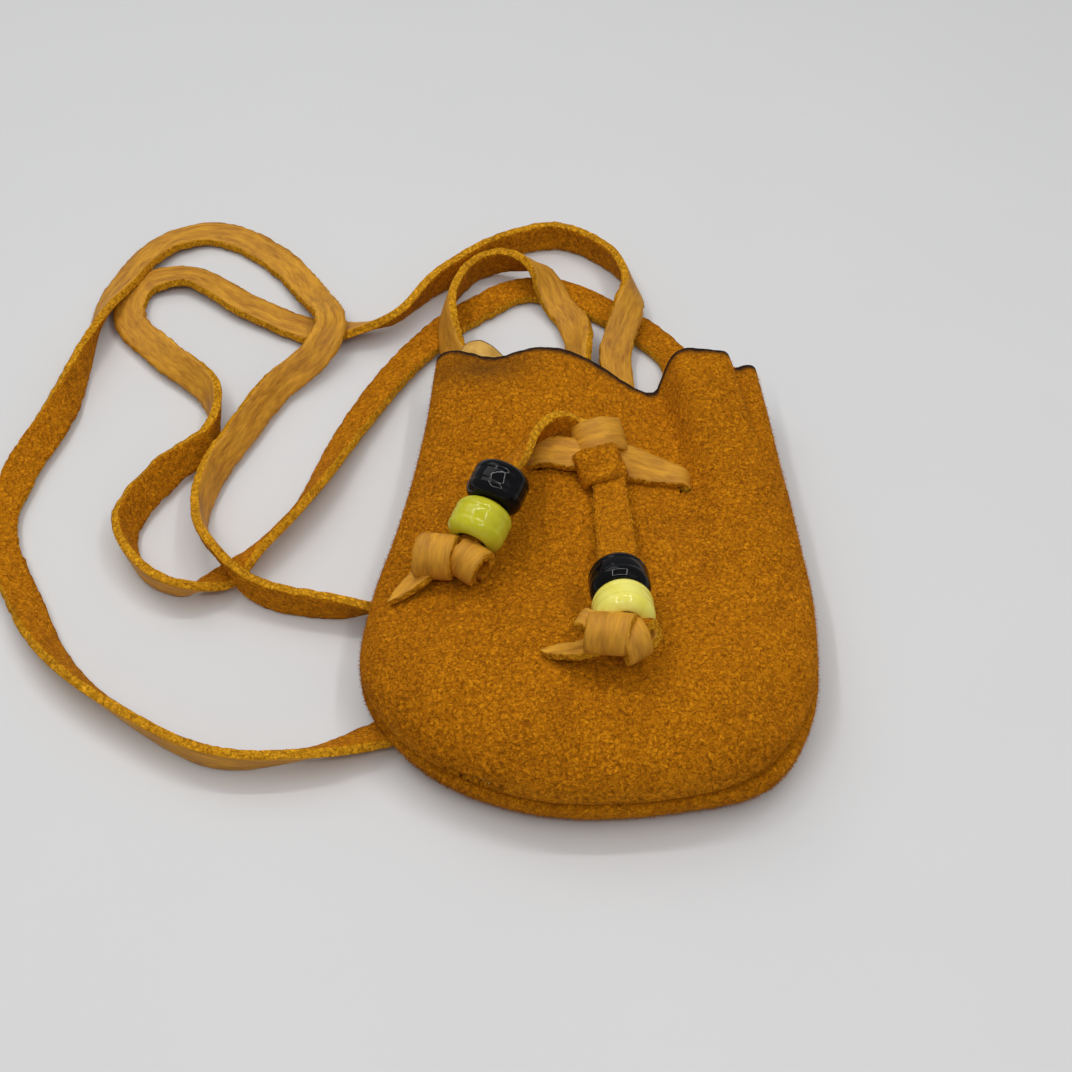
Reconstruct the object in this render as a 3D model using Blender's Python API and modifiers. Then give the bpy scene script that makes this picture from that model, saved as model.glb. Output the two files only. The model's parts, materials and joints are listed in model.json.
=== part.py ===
"""A small suede drawstring pouch lying on its back, with a beaded tie in front and a long flat neck lace.

Metres, +Z up, +Y towards the mouth, origin on the floor under the middle of the pouch."""

import math

import bmesh
import bpy
from mathutils import Vector

MM = 0.001

# Leather and clearances
LEATHER = 1.2 * MM
CLEAR = 0.3 * MM

# Pouch: seam line seen from above, left mouth corner round the bottom to the right mouth corner
SEAM_POINTS = [
    (-22.4, 40.0), (-23.6, 25.8), (-26.4, 7.8), (-29.8, -8.2), (-30.2, -21.7), (-22.4, -32.6),
    (-8.0, -39.4), (8.0, -39.6), (20.8, -35.6), (28.4, -25.2), (30.4, -11.2), (29.4, 5.8),
    (27.8, 21.8), (26.0, 37.6),
]
SEAM_HEIGHT = 5.5 * MM
SEAM_LIFT_AT_MOUTH = 1.3 * MM
SEAM_ALLOWANCE = 4.0 * MM
SEAM_CURL = 1.6 * MM
BELLY_HEIGHT = 13.4 * MM
WAIST_HEIGHT = 11.0 * MM
MOUTH_HEIGHT = 13.0 * MM
EDGE_ROUNDING = 13.0 * MM
EDGE_POWER = 2.2
BELLY_Y = -29.2 * MM
WAIST_Y = -3.2 * MM
LIFT_START = 9.8 * MM
LIFT_RUN = 16.0 * MM
NECK_Y = 17.8 * MM
MOUTH_Y = 38.8 * MM
BACK_LEVEL = 0.6 * MM
BACK_MOUTH_LEVEL = 3.5 * MM
BACK_ROUNDING = 7.0 * MM
BACK_LIP = 1.2 * MM
BACK_LIP_X = 23.0 * MM
BACK_LIP_WIDTH = 7.0 * MM
LIP_DEPTH = 6.0 * MM
RIDGE_HALF = 2.6 * MM
RIDGE_SLOPE = 4.0 * MM
SEAM_CORNER = 6.5 * MM
SEAM_STEPS = 121
COLUMNS = 22
ROWS = 20
SIDE_CROWDING = 0.55
BOTTOM_CROWDING = 0.25

# The turned-in rim of each panel: distance in from the seam line, and share of the way to the other panel
RIM_STEPS = [(0.0, 0.55), (0.55 * MM, 0.85), (1.3 * MM, 1.0), (SEAM_ALLOWANCE, 1.0)]

# Cut edges at the mouth, seen from above: an even sag, the front one's notch and the back one's tongue
MOUTH_SAG = 1.0 * MM
NOTCH_DEPTH = 3.6 * MM
NOTCH_X = 9.5 * MM
NOTCH_LEFT_WIDTH = 9.0 * MM
NOTCH_RIGHT_WIDTH = 4.5 * MM
TONGUE_LENGTH = 1.6 * MM
TONGUE_X = -14.0 * MM
TONGUE_WIDTH = 6.0 * MM
TONGUE_RISE = 4.6 * MM
TONGUE_FADE = 9.0 * MM
MOUTH_END_FADE = 0.1

# Folds of the front panel, each from the mouth to where it fades: the pleat and the valley beside it
PLEAT_HEIGHT = 0.5 * MM
PLEAT_WIDTH = 5.0 * MM
PLEAT_GROWTH = 0.8
PLEAT_TOP = (19.0 * MM, 38.8 * MM)
PLEAT_END = (22.0 * MM, -4.2 * MM)
VALLEY_DEPTH = 6.4 * MM
VALLEY_WIDTH = 1.8 * MM
VALLEY_SHOULDER = 4.6
VALLEY_GROWTH = 1.0
VALLEY_TOP = (11.0 * MM, 38.8 * MM)
VALLEY_END = (17.5 * MM, -5.2 * MM)
HOLLOW_DEPTH = 2.6 * MM
HOLLOW_WIDTH = 5.5 * MM
HOLLOW_PLACE = (-13.5 * MM, 37.8 * MM)

# Laces
LACE = 1.5 * MM
LACE_WIDTH = 5.0 * MM
TIE_DIAMETER = 3.0 * MM
NECK_DIAMETER = 2.4 * MM
LEFT_SLIT = (-7.7 * MM, 16.4 * MM)
RIGHT_SLIT = (14.3 * MM, 13.9 * MM)
FRONT_CUT_HEIGHT = 8.0 * MM
BACK_CUT_HEIGHT = 6.0 * MM

# The drawstring beside each slit: steps away from it, with the rise over the leather outside
OUTSIDE_STEPS = [(0.5 * MM, 0.0), (2.4 * MM, 0.4 * MM), (5.4 * MM, 0.6 * MM)]
INSIDE_STEPS = [0.5 * MM, 3.0 * MM, 7.8 * MM]

# Barrel beads
BEAD_DIAMETER = 8.2 * MM
BEAD_LENGTH = 5.8 * MM
BEAD_HOLE = 4.0 * MM
BEAD_ROUNDING = 1.7 * MM
BEAD_STEPS = 24
BEAD_ROUND_STEPS = 4

# Main knot, and its lobe beyond it
MAIN_KNOT = (1.6 * MM, 13.2 * MM)
MAIN_KNOT_SIZE = (3.7 * MM, 4.2 * MM, 2.4 * MM)
KNOT_STEPS = (14, 9)
MAIN_KNOT_TURN = (math.radians(8), 0, math.radians(-28))
KNOT_REACH = 1.2 * MM
LOBE_STEP = (0.9 * MM, 5.0 * MM, 0.4 * MM)
LOBE_SIZE = (3.0 * MM, 2.4 * MM, 2.0 * MM)
LOBE_TURN = (0, 0, math.radians(23))

# Bead stacks: place of the lime bead, heading and tilt of the axis towards the main knot
LEFT_LIME = (-15.2 * MM, -2.5 * MM)
LEFT_HEADING = (0.414, 0.910)
LEFT_TILT = math.radians(16)
LEFT_FREE = 2.4 * MM
RIGHT_LIME = (3.9 * MM, -19.3 * MM)
RIGHT_HEADING = (-0.05, 0.999)
RIGHT_TILT = math.radians(-14)
RIGHT_FREE = 9.0 * MM
STACK_LIFT = 1.1 * MM

# Steps from the main knot along each tie
LEFT_TIE_START = (-1.0 * MM, 3.4 * MM, 0.4 * MM)
LEFT_ARCH = [(-3.6 * MM, 7.0 * MM, 2.0 * MM), (-7.2 * MM, 5.6 * MM, 5.0 * MM), (-9.4 * MM, 1.0 * MM, 5.6 * MM)]
RIGHT_TIE_START = (0.4 * MM, -1.5 * MM, -0.2 * MM)
RIGHT_ARCH = [(1.4 * MM, -5.6 * MM, -0.6 * MM)]
TIE_POINTS = 9

# End knots and their tails
END_KNOT_SIZE = (3.9 * MM, 2.7 * MM, 2.7 * MM)
LEFT_TAIL = (-27.0 * MM, -11.1 * MM)
RIGHT_TAIL = (-6.3 * MM, -22.5 * MM)
TAIL_THICKNESS = 0.9
TAIL_TAPER = 0.35
TAIL_BEND = 0.6
TAIL_RISE = 0.6 * MM

# Neck lace: hand-chosen route in millimetres, from the left back slit to the right one
NECK_ROUTE = [
    (-16.0, 34.4, 1.5), (-18.4, 40.8, 1.2), (-21.2, 49.8, 2.0), (-21.6, 57.2, 4.0),
    (-18.6, 68.0, 1.2), (-13.4, 70.2, 2.0), (-7.5, 66.6, 4.0), (-4.2, 61.8, 2.0), (-1.4, 56.2, 1.2),
    (-0.6, 48.4, 1.2), (-3.0, 37.8, 1.2), (-7.0, 25.8, 1.2), (-13.0, 12.8, 1.2), (-20.0, 1.4, 1.2),
    (-28.6, -4.6, 1.2), (-39.0, -4.4, 1.2), (-47.6, -1.8, 1.5), (-53.2, 3.0, 4.0),
    (-57.2, 11.8, 1.6), (-56.4, 21.4, 1.2), (-53.2, 29.8, 1.2), (-48.6, 40.2, 1.2), (-43.2, 46.8, 2.0),
    (-40.8, 54.2, 4.0), (-45.0, 64.2, 1.5), (-52.4, 74.4, 1.2), (-62.4, 80.4, 1.2),
    (-71.6, 76.4, 1.2), (-77.4, 63.8, 1.2), (-79.6, 49.8, 1.2), (-81.6, 35.8, 1.2),
    (-85.8, 22.4, 1.2), (-86.8, 10.4, 1.2), (-80.8, -2.8, 1.2), (-73.6, -14.6, 1.2),
    (-62.6, -24.2, 1.2), (-50.6, -30.8, 1.2), (-38.8, -30.4, 1.2), (-28.2, -26.4, 1.2),
    (-17.0, -18.8, 1.2), (-7.6, -5.2, 1.2), (1.0, 9.8, 1.2), (7.6, 24.4, 1.2), (13.4, 37.8, 1.2),
    (15.4, 46.4, 1.2), (11.4, 53.4, 1.2), (5.0, 59.2, 1.2), (-2.6, 64.8, 1.2), (-10.4, 65.4, 1.2),
    (-16.8, 61.0, 1.2), (-21.6, 56.8, 1.2), (-26.0, 51.0, 1.2), (-31.4, 41.8, 1.2),
    (-36.8, 29.4, 1.2), (-42.2, 15.2, 1.2), (-49.8, 4.2, 1.2), (-57.0, -1.4, 1.2),
    (-64.4, 2.2, 1.2), (-68.0, 11.2, 1.2), (-63.8, 21.2, 1.2), (-57.6, 28.8, 1.2),
    (-58.8, 39.0, 1.2), (-67.2, 48.4, 1.2), (-74.2, 57.4, 1.2), (-73.6, 66.2, 1.2),
    (-65.4, 68.4, 1.2), (-55.0, 61.0, 1.2), (-43.4, 55.0, 1.2), (-31.8, 56.2, 1.2),
    (-24.2, 65.6, 1.2), (-14.2, 74.4, 1.2), (-3.8, 77.8, 1.2), (4.6, 72.4, 1.2), (8.2, 63.2, 2.6),
    (7.6, 56.8, 4.0), (5.4, 49.6, 1.9), (5.6, 41.8, 1.2), (6.2, 34.8, 1.5),
]
NECK_POINTS = 80
NECK_BEND = 9.0 * MM
FLOOR_GAP = 0.05 * MM
CURVE_STEPS = 12

SUEDE = (0.50, 0.24, 0.035, 1)
LACE_COLOUR = (0.66, 0.37, 0.08, 1)
BLACK = (0.006, 0.006, 0.007, 1)
LIME_LEFT = (0.55, 0.62, 0.04, 1)
LIME_RIGHT = (0.80, 0.80, 0.22, 1)


def clear_scene():
    for item in list(bpy.data.objects):
        bpy.data.objects.remove(item, do_unlink=True)


def material(name, colour, roughness):
    made = bpy.data.materials.new(name)
    made.use_nodes = True
    shader = made.node_tree.nodes["Principled BSDF"]
    shader.inputs["Base Color"].default_value = colour
    shader.inputs["Roughness"].default_value = roughness
    return made


def add_object(name, mesh, collection, finish=None):
    item = bpy.data.objects.new(name, mesh)
    collection.objects.link(item)
    if finish:
        mesh.materials.append(finish)
    return item


def from_bmesh(shape, name):
    mesh = bpy.data.meshes.new(name)
    shape.to_mesh(mesh)
    shape.free()
    return mesh


def smooth_curve(points, count, bend=0.0):
    """Points on a smooth curve through the given ones, closer together in bends where bend is a length."""
    dense = []
    last = len(points) - 1
    for i in range(last):
        p0 = points[max(i - 1, 0)]
        p1, p2 = points[i], points[i + 1]
        p3 = points[min(i + 2, last)]
        for k in range(CURVE_STEPS):
            t = k / CURVE_STEPS
            dense.append(
                0.5 * (2 * p1 + (p2 - p0) * t + (2 * p0 - 5 * p1 + 4 * p2 - p3) * t**2
                       + (3 * p1 - p0 - 3 * p2 + p3) * t**3)
            )
    dense.append(points[last])
    reach = [0.0]
    before = dense[1] - dense[0]
    for a, b in zip(dense, dense[1:]):
        reach.append(reach[-1] + (b - a).length + bend * before.angle(b - a, 0))
        before = b - a
    result = []
    at = 0
    for k in range(count):
        want = reach[-1] * k / (count - 1)
        while at < len(dense) - 2 and reach[at + 1] < want:
            at += 1
        share = (want - reach[at]) / (reach[at + 1] - reach[at])
        result.append(dense[at].lerp(dense[at + 1], min(max(share, 0), 1)))
    return result


def flat_distance(place, line):
    """Shortest distance in plan from a place to a line of points."""
    best = 1.0
    for a, b in zip(line, line[1:]):
        step = Vector((b[0] - a[0], b[1] - a[1]))
        away = Vector((place[0] - a[0], place[1] - a[1]))
        share = min(max(away.dot(step) / step.length_squared, 0), 1)
        best = min(best, (away - step * share).length)
    return best


def soft_step(value):
    value = min(max(value, 0), 1)
    return value * value * (3 - 2 * value)


seam = smooth_curve([Vector((x * MM, y * MM, 0)) for x, y in SEAM_POINTS], SEAM_STEPS)
neck = smooth_curve([Vector((x * MM, y * MM, z * MM)) for x, y, z in NECK_ROUTE],
                    NECK_POINTS, NECK_BEND)
for spot in neck:
    spot.z = max(spot.z, NECK_DIAMETER / 2 + FLOOR_GAP)
near_pouch = max(abs(p.x) for p in seam) + LACE_WIDTH
under_pouch = [p for p in neck if abs(p.x) < near_pouch and p.y < MOUTH_Y + 2 * LACE_WIDTH]


def seam_height(y):
    """The seam rises a little on its way to the mouth."""
    return SEAM_HEIGHT + SEAM_LIFT_AT_MOUTH * soft_step((y - LIFT_START) / (MOUTH_Y - LIFT_START))


def bump(away, width):
    return math.exp(-((away / width) ** 2))


def fold(place, top, end, width, growth, shoulder=1.0):
    """Height share of a fold that runs from the mouth to its end, its left side wider by shoulder."""
    share = (top[1] - place[1]) / (top[1] - end[1])
    middle = top[0] + (end[0] - top[0]) * share
    spread = width * (1 + growth * max(share, 0)) * (shoulder if place[0] < middle else 1)
    return (1 - soft_step(share)) * bump(place[0] - middle, spread)


def crown(y):
    """Height of the middle of the front panel, from the belly to the mouth."""
    up = soft_step((y - BELLY_Y) / (WAIST_Y - BELLY_Y))
    height = BELLY_HEIGHT + (WAIST_HEIGHT - BELLY_HEIGHT) * up
    return height + (MOUTH_HEIGHT - WAIST_HEIGHT) * soft_step((y - NECK_Y) / (MOUTH_Y - NECK_Y))


def front_height(x, y):
    """Height of the middle of the front leather over the floor."""
    start = seam_height(y) + SEAM_CURL
    inward = min(flat_distance((x, y), seam) / EDGE_ROUNDING, 1)
    rise = math.sqrt(max(1 - (1 - inward) ** EDGE_POWER, 0))
    form = crown(y) - start
    form += PLEAT_HEIGHT * fold((x, y), PLEAT_TOP, PLEAT_END, PLEAT_WIDTH, PLEAT_GROWTH)
    form -= VALLEY_DEPTH * fold((x, y), VALLEY_TOP, VALLEY_END, VALLEY_WIDTH, VALLEY_GROWTH,
                                VALLEY_SHOULDER)
    form -= HOLLOW_DEPTH * bump(math.hypot(x - HOLLOW_PLACE[0], y - HOLLOW_PLACE[1]), HOLLOW_WIDTH)
    return start + form * rise


def back_height(x, y):
    """Height of the middle of the back leather, raised over the neck lace and at its mouth's left corner."""
    start = seam_height(y) - SEAM_CURL
    inward = min(flat_distance((x, y), seam) / BACK_ROUNDING, 1)
    sink = math.sqrt(max(1 - (1 - inward) ** 2, 0))
    over_lace = BACK_LEVEL + NECK_DIAMETER + CLEAR
    away = flat_distance((x, y), under_pouch)
    level = BACK_LEVEL + (over_lace - BACK_LEVEL) * (1 - soft_step((away - RIDGE_HALF) / RIDGE_SLOPE))
    mouth = BACK_MOUTH_LEVEL * soft_step((y - LIFT_START) / (NECK_Y + LIFT_RUN - LIFT_START))
    level = max(level, mouth)
    level += TONGUE_RISE * bump(x - TONGUE_X, TONGUE_WIDTH) * soft_step((y - MOUTH_Y) / TONGUE_FADE + 1)
    return start + (level - start) * sink


def front_mouth(x):
    """How far the front panel's cut edge stands back from a straight mouth."""
    width = NOTCH_LEFT_WIDTH if x < NOTCH_X else NOTCH_RIGHT_WIDTH
    return NOTCH_DEPTH * bump(x - NOTCH_X, width)


def back_mouth(x):
    """How far the back panel's cut edge stands back from a straight mouth."""
    return -TONGUE_LENGTH * bump(x - TONGUE_X, TONGUE_WIDTH)


def seam_split(line):
    """The seam as its left side, bottom and right side, all running towards the mouth or the right."""
    corner = min(p.y for p in line) + SEAM_CORNER
    first = next(i for i, p in enumerate(line) if p.y < corner)
    last = max(i for i, p in enumerate(line) if p.y < corner)
    return line[first::-1], line[first:last + 1], line[last:]


def along(line, share):
    reach = share * (len(line) - 1)
    at = min(int(reach), len(line) - 2)
    return line[at].lerp(line[at + 1], reach - at)


def edge_spacing(share):
    """Moves evenly spaced shares towards both ends, where the leather bends most."""
    return (1 - SIDE_CROWDING) * share + SIDE_CROWDING * (0.5 - 0.5 * math.cos(math.pi * share))


def length_spacing(share):
    """Moves evenly spaced shares towards the bottom of the pouch."""
    return (1 - BOTTOM_CROWDING) * share + BOTTOM_CROWDING * (1 - math.cos(math.pi / 2 * share))


def lip(place):
    """How far the back panel shows past the front one at the lower right."""
    return BACK_LIP * bump(place.x - BACK_LIP_X, BACK_LIP_WIDTH) if place.y < 0 else 0


def panel(name, height, mouth_edge, turn, has_lip, collection, finish):
    """One leather panel: a grid laid over the seam outline, its rim turned in as the seam allowance."""
    left, bottom, right = seam_split(seam)
    corner_a, corner_b = left[-1], right[-1]
    shape = bmesh.new()
    bmesh.ops.create_grid(shape, x_segments=COLUMNS, y_segments=ROWS, size=0.5)
    for vert in shape.verts:
        u = edge_spacing(vert.co.x + 0.5)
        v = length_spacing(vert.co.y + 0.5)
        straight = corner_a.lerp(corner_b, u)
        fade = soft_step(min(u, 1 - u) / MOUTH_END_FADE)
        dip = MOUTH_SAG * abs(math.sin(math.pi * u)) + mouth_edge(straight.x) * fade
        mouth = straight - Vector((0, dip, 0))
        sides = along(left, v).lerp(along(right, v), u)
        ends = along(bottom, u).lerp(mouth, v)
        corners = left[0].lerp(right[0], u).lerp(straight, v)
        vert.co = sides + ends - corners
    mouth_verts = {v for v in shape.verts if v.is_boundary and v.co.y > 0 and is_mouth(v)}
    for vert in shape.verts:
        vert.co.z = height(vert.co.x, vert.co.y)
    rim = [e for e in shape.edges if e.is_boundary and not all(v in mouth_verts for v in e.verts)]
    gap = (LEATHER + CLEAR) / 2
    for inset, share in RIM_STEPS:
        made = bmesh.ops.extrude_edge_only(shape, edges=rim)["geom"]
        for vert in [g for g in made if isinstance(g, bmesh.types.BMVert)]:
            out, on_seam = outward(vert.co)
            level = SEAM_CURL + (gap - SEAM_CURL) * share
            vert.co = on_seam - out * inset
            vert.co.z = seam_height(on_seam.y) + turn * level
        rim = [g for g in made if isinstance(g, bmesh.types.BMEdge)]
    for vert in shape.verts if has_lip else ():
        out, on_seam = outward(vert.co)
        near = 1 - soft_step((on_seam.xy - vert.co.xy).length / LIP_DEPTH)
        vert.co += out * lip(on_seam) * near
    bmesh.ops.recalc_face_normals(shape, faces=shape.faces)
    item = add_object(name, from_bmesh(shape, name), collection, finish)
    wall = item.modifiers.new("leather", "SOLIDIFY")
    wall.thickness = LEATHER
    wall.offset = 0
    return item


def is_mouth(vert):
    """True for a rim vertex on the open end."""
    near = min((vert.co - end).length for end in (seam[0], seam[-1]))
    return flat_distance(vert.co, seam) > FLOOR_GAP or near < FLOOR_GAP


def outward(place):
    """The direction out of the seam nearest to a place, and that point of the seam."""
    flat = Vector((place.x, place.y, 0))
    at = min(range(len(seam)), key=lambda i: (seam[i] - flat).length)
    best = None
    for i in (at - 1, at):
        if 0 <= i < len(seam) - 1:
            step = seam[i + 1] - seam[i]
            share = min(max((flat - seam[i]).dot(step) / step.length_squared, 0), 1)
            found = seam[i] + step * share
            if best is None or (found - flat).length < (best[1] - flat).length:
                best = (Vector((step.y, -step.x, 0)).normalized() * -1, found)
    out = best[0] if best[0].dot(best[1]) > 0 else best[0] * -1
    return out, best[1]


def as_cutter(item):
    item.hide_render = True
    item.display_type = "WIRE"
    return item


def tube(name, points, diameter, collection, finish=None, taper=None):
    """A lace drawn as a round tube through its points."""
    curve = bpy.data.curves.new(name, "CURVE")
    curve.dimensions = "3D"
    curve.bevel_depth = diameter / 2
    curve.bevel_resolution = 2
    curve.use_fill_caps = True
    line = curve.splines.new("POLY")
    line.points.add(len(points) - 1)
    for i, place in enumerate(points):
        line.points[i].co = (*place, 1)
        if taper:
            line.points[i].radius = 1 + (taper - 1) * i / (len(points) - 1)
    return add_object(name, curve, collection, finish)


def as_mesh(item, collection):
    """The closed mesh of a curve object, which takes the curve's place."""
    bpy.context.view_layer.update()
    seen = item.evaluated_get(bpy.context.evaluated_depsgraph_get())
    mesh = bpy.data.meshes.new_from_object(seen)
    shape = bmesh.new()
    shape.from_mesh(mesh)
    bmesh.ops.remove_doubles(shape, verts=shape.verts, dist=0.001 * MM)
    bmesh.ops.recalc_face_normals(shape, faces=shape.faces)
    shape.to_mesh(mesh)
    shape.free()
    name = item.name
    bpy.data.objects.remove(item)
    return as_cutter(add_object(name, mesh, collection))


def lump(name, centre, size, turn, collection):
    """One rounded lobe of a knot."""
    shape = bmesh.new()
    bmesh.ops.create_uvsphere(shape, u_segments=KNOT_STEPS[0], v_segments=KNOT_STEPS[1], radius=1)
    bmesh.ops.scale(shape, vec=Vector(size), verts=shape.verts)
    item = as_cutter(add_object(name, from_bmesh(shape, name), collection))
    item.rotation_euler = turn
    item.location = centre
    return item


def slit(panel_item, name, place, size, collection):
    """A cut through one panel for a lace."""
    shape = bmesh.new()
    bmesh.ops.create_cube(shape, size=1)
    bmesh.ops.scale(shape, vec=Vector(size), verts=shape.verts)
    cutter = as_cutter(add_object(name, from_bmesh(shape, name), collection))
    cutter.location = place
    cut = panel_item.modifiers.new(name, "BOOLEAN")
    cut.operation = "DIFFERENCE"
    cut.object = cutter


def strap(name, route, collection, finish):
    """A flat lace, its width along Y, at the route's heights over the front panel."""
    shape = bmesh.new()
    bmesh.ops.create_grid(shape, x_segments=len(route) - 1, y_segments=1, size=0.5)
    for vert in shape.verts:
        x, y, rise = route[round((vert.co.x + 0.5) * (len(route) - 1))]
        y += vert.co.y * LACE_WIDTH
        vert.co = (x, y, front_height(x, y) + rise)
    item = add_object(name, from_bmesh(shape, name), collection, finish)
    wall = item.modifiers.new("lace", "SOLIDIFY")
    wall.thickness = LACE
    wall.offset = 0
    wall.use_even_offset = True
    return item


def drawstring_route():
    """Plan and height over the panel of the lace from the knot through one slit, inside and out again."""
    outside = (LEATHER + LACE) / 2 + CLEAR
    left, right = LEFT_SLIT, RIGHT_SLIT
    slope = (right[1] - left[1]) / (right[0] - left[0])
    half = LEATHER / 2 + CLEAR
    to_knot = [(step, outside + rise) for step, rise in OUTSIDE_STEPS]
    inside = [(step, -outside) for step in INSIDE_STEPS]
    offsets = [(MAIN_KNOT[0] - LACE / 2, outside + KNOT_REACH)]
    offsets += [(left[0] + step, rise) for step, rise in reversed(to_knot)]
    offsets += [(left[0], half), (left[0], -half)] + [(left[0] + step, rise) for step, rise in inside]
    offsets += [(right[0] - step, rise) for step, rise in reversed(inside)]
    offsets += [(right[0], -half), (right[0], half)] + [(right[0] - step, rise) for step, rise in to_knot]
    offsets.append((MAIN_KNOT[0] + LACE / 2, outside + KNOT_REACH))
    return [(x, left[1] + slope * (x - left[0]), rise) for x, rise in offsets]


def stack(lime, heading, tilt):
    """Axis of a pair of beads, towards the main knot, and the place of its lime bead on the leather."""
    flat = Vector(heading).normalized()
    axis = Vector((flat.x * math.cos(tilt), flat.y * math.cos(tilt), math.sin(tilt)))
    rise = (BEAD_DIAMETER * math.cos(tilt) + BEAD_LENGTH * abs(math.sin(tilt)) + LEATHER) / 2 + STACK_LIFT
    return axis, Vector((*lime, front_height(*lime) + rise))


def bead(name, centre, axis, collection, finish):
    """A turned barrel bead, its hole along the stack's axis."""
    outer, hole, half = BEAD_DIAMETER / 2, BEAD_HOLE / 2, BEAD_LENGTH / 2
    profile = []
    for k in range(BEAD_ROUND_STEPS + 1):
        angle = math.pi / 2 * (1 - k / BEAD_ROUND_STEPS)
        profile.append((outer - BEAD_ROUNDING * (1 - math.cos(angle)),
                        half - BEAD_ROUNDING * (1 - math.sin(angle))))
    profile += [(r, -z) for r, z in reversed(profile)]
    lead = (outer - BEAD_ROUNDING - hole) / 2
    profile += [(hole + lead, -half), (hole, lead - half), (hole, half - lead), (hole + lead, half)]
    shape = bmesh.new()
    rim = [shape.verts.new((r, 0, z)) for r, z in profile]
    for a, b in zip(rim, rim[1:] + rim[:1]):
        shape.edges.new((a, b))
    item = add_object(name, from_bmesh(shape, name), collection, finish)
    turn = item.modifiers.new("turn", "SCREW")
    turn.steps = turn.render_steps = BEAD_STEPS
    turn.use_merge_vertices = True
    turn.merge_threshold = 0.001 * MM
    item.location = centre
    item.rotation_euler = axis.to_track_quat("Z", "Y").to_euler()
    return item


def tie(name, start, arch, axis, lime, free):
    """The tube of one tie end: out of the main knot, over its arch and through its two beads."""
    top = lime + axis * (1.5 * BEAD_LENGTH + CLEAR + free)
    foot = lime - axis * (BEAD_LENGTH / 2 + CLEAR + END_KNOT_SIZE[1])
    curve = smooth_curve([start, *arch, top], TIE_POINTS)
    return as_mesh(tube(name, [*curve[:-1], top, foot], TIE_DIAMETER, cutters), cutters)


def end_knot(name, lime, axis, tail_tip):
    """The knot under a pair of beads and its pointed tail."""
    centre = lime - axis * (BEAD_LENGTH / 2 + CLEAR + END_KNOT_SIZE[1])
    turn = Vector((axis.x, axis.y, 0)).to_track_quat("Y", "Z").to_euler()
    knot = lump(name, centre, END_KNOT_SIZE, turn, cutters)
    middle = centre.lerp(tail_tip, TAIL_BEND) + Vector((0, 0, TAIL_RISE))
    tail = as_mesh(tube(name + "_tail", [centre, middle, tail_tip], TAIL_THICKNESS * TIE_DIAMETER,
                        cutters, taper=TAIL_TAPER), cutters)
    return [knot, tail]


clear_scene()
pouch = bpy.data.collections.new("medicine_pouch")
bpy.context.scene.collection.children.link(pouch)
cutters = bpy.data.collections.new("cutters")
bpy.context.scene.collection.children.link(cutters)
suede = material("suede", SUEDE, 0.95)
lace_suede = material("lace", LACE_COLOUR, 0.85)
black_glass = material("black_glass", BLACK, 0.12)
lime_left = material("lime_glass", LIME_LEFT, 0.15)
lime_right = material("pale_lime_glass", LIME_RIGHT, 0.15)

front = panel("front_panel", front_height, front_mouth, 1, False, pouch, suede)
back = panel("back_panel", back_height, back_mouth, -1, True, pouch, suede)
front_cut = (LACE + 2 * CLEAR, LACE_WIDTH + 2 * CLEAR, FRONT_CUT_HEIGHT)
back_cut = (LACE_WIDTH + 2 * CLEAR, LACE + 2 * CLEAR, BACK_CUT_HEIGHT)
slit(front, "left_slit", (*LEFT_SLIT, front_height(*LEFT_SLIT)), front_cut, cutters)
slit(front, "right_slit", (*RIGHT_SLIT, front_height(*RIGHT_SLIT)), front_cut, cutters)
for name, end in (("left_back_slit", neck[0]), ("right_back_slit", neck[-1])):
    slit(back, name, (end.x, end.y - LACE, BACK_MOUTH_LEVEL), back_cut, cutters)

left_axis, left_lime_place = stack(LEFT_LIME, LEFT_HEADING, LEFT_TILT)
right_axis, right_lime_place = stack(RIGHT_LIME, RIGHT_HEADING, RIGHT_TILT)
pitch = BEAD_LENGTH + CLEAR
bead("left_lime_bead", left_lime_place, left_axis, pouch, lime_left)
bead("left_black_bead", left_lime_place + left_axis * pitch, left_axis, pouch, black_glass)
bead("right_lime_bead", right_lime_place, right_axis, pouch, lime_right)
bead("right_black_bead", right_lime_place + right_axis * pitch, right_axis, pouch, black_glass)

knot_height = front_height(*MAIN_KNOT) + LEATHER / 2 + CLEAR + MAIN_KNOT_SIZE[2]
knot_place = Vector((*MAIN_KNOT, knot_height))
lace = strap("drawstring", drawstring_route(), pouch, lace_suede)
joined = [lump("main_knot", knot_place, MAIN_KNOT_SIZE, MAIN_KNOT_TURN, cutters),
          lump("upper_lobe", knot_place + Vector(LOBE_STEP), LOBE_SIZE, LOBE_TURN, cutters)]
for name, start, arch, axis, place, free in (
        ("left_tie", LEFT_TIE_START, LEFT_ARCH, left_axis, left_lime_place, LEFT_FREE),
        ("right_tie", RIGHT_TIE_START, RIGHT_ARCH, right_axis, right_lime_place, RIGHT_FREE)):
    bends = [knot_place + Vector(step) for step in arch]
    joined.append(tie(name, knot_place + Vector(start), bends, axis, place, free))
for name, place, axis, tip in (("left_end_knot", left_lime_place, left_axis, LEFT_TAIL),
                               ("right_end_knot", right_lime_place, right_axis, RIGHT_TAIL)):
    tail_tip = Vector((*tip, front_height(*tip) + LEATHER / 2 + TIE_DIAMETER / 2))
    joined += end_knot(name, place, axis, tail_tip)
for item in joined:
    union = lace.modifiers.new(item.name, "BOOLEAN")
    union.operation = "UNION"
    union.object = item

tube("neck_cord", neck, NECK_DIAMETER, pouch, lace_suede)
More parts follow.
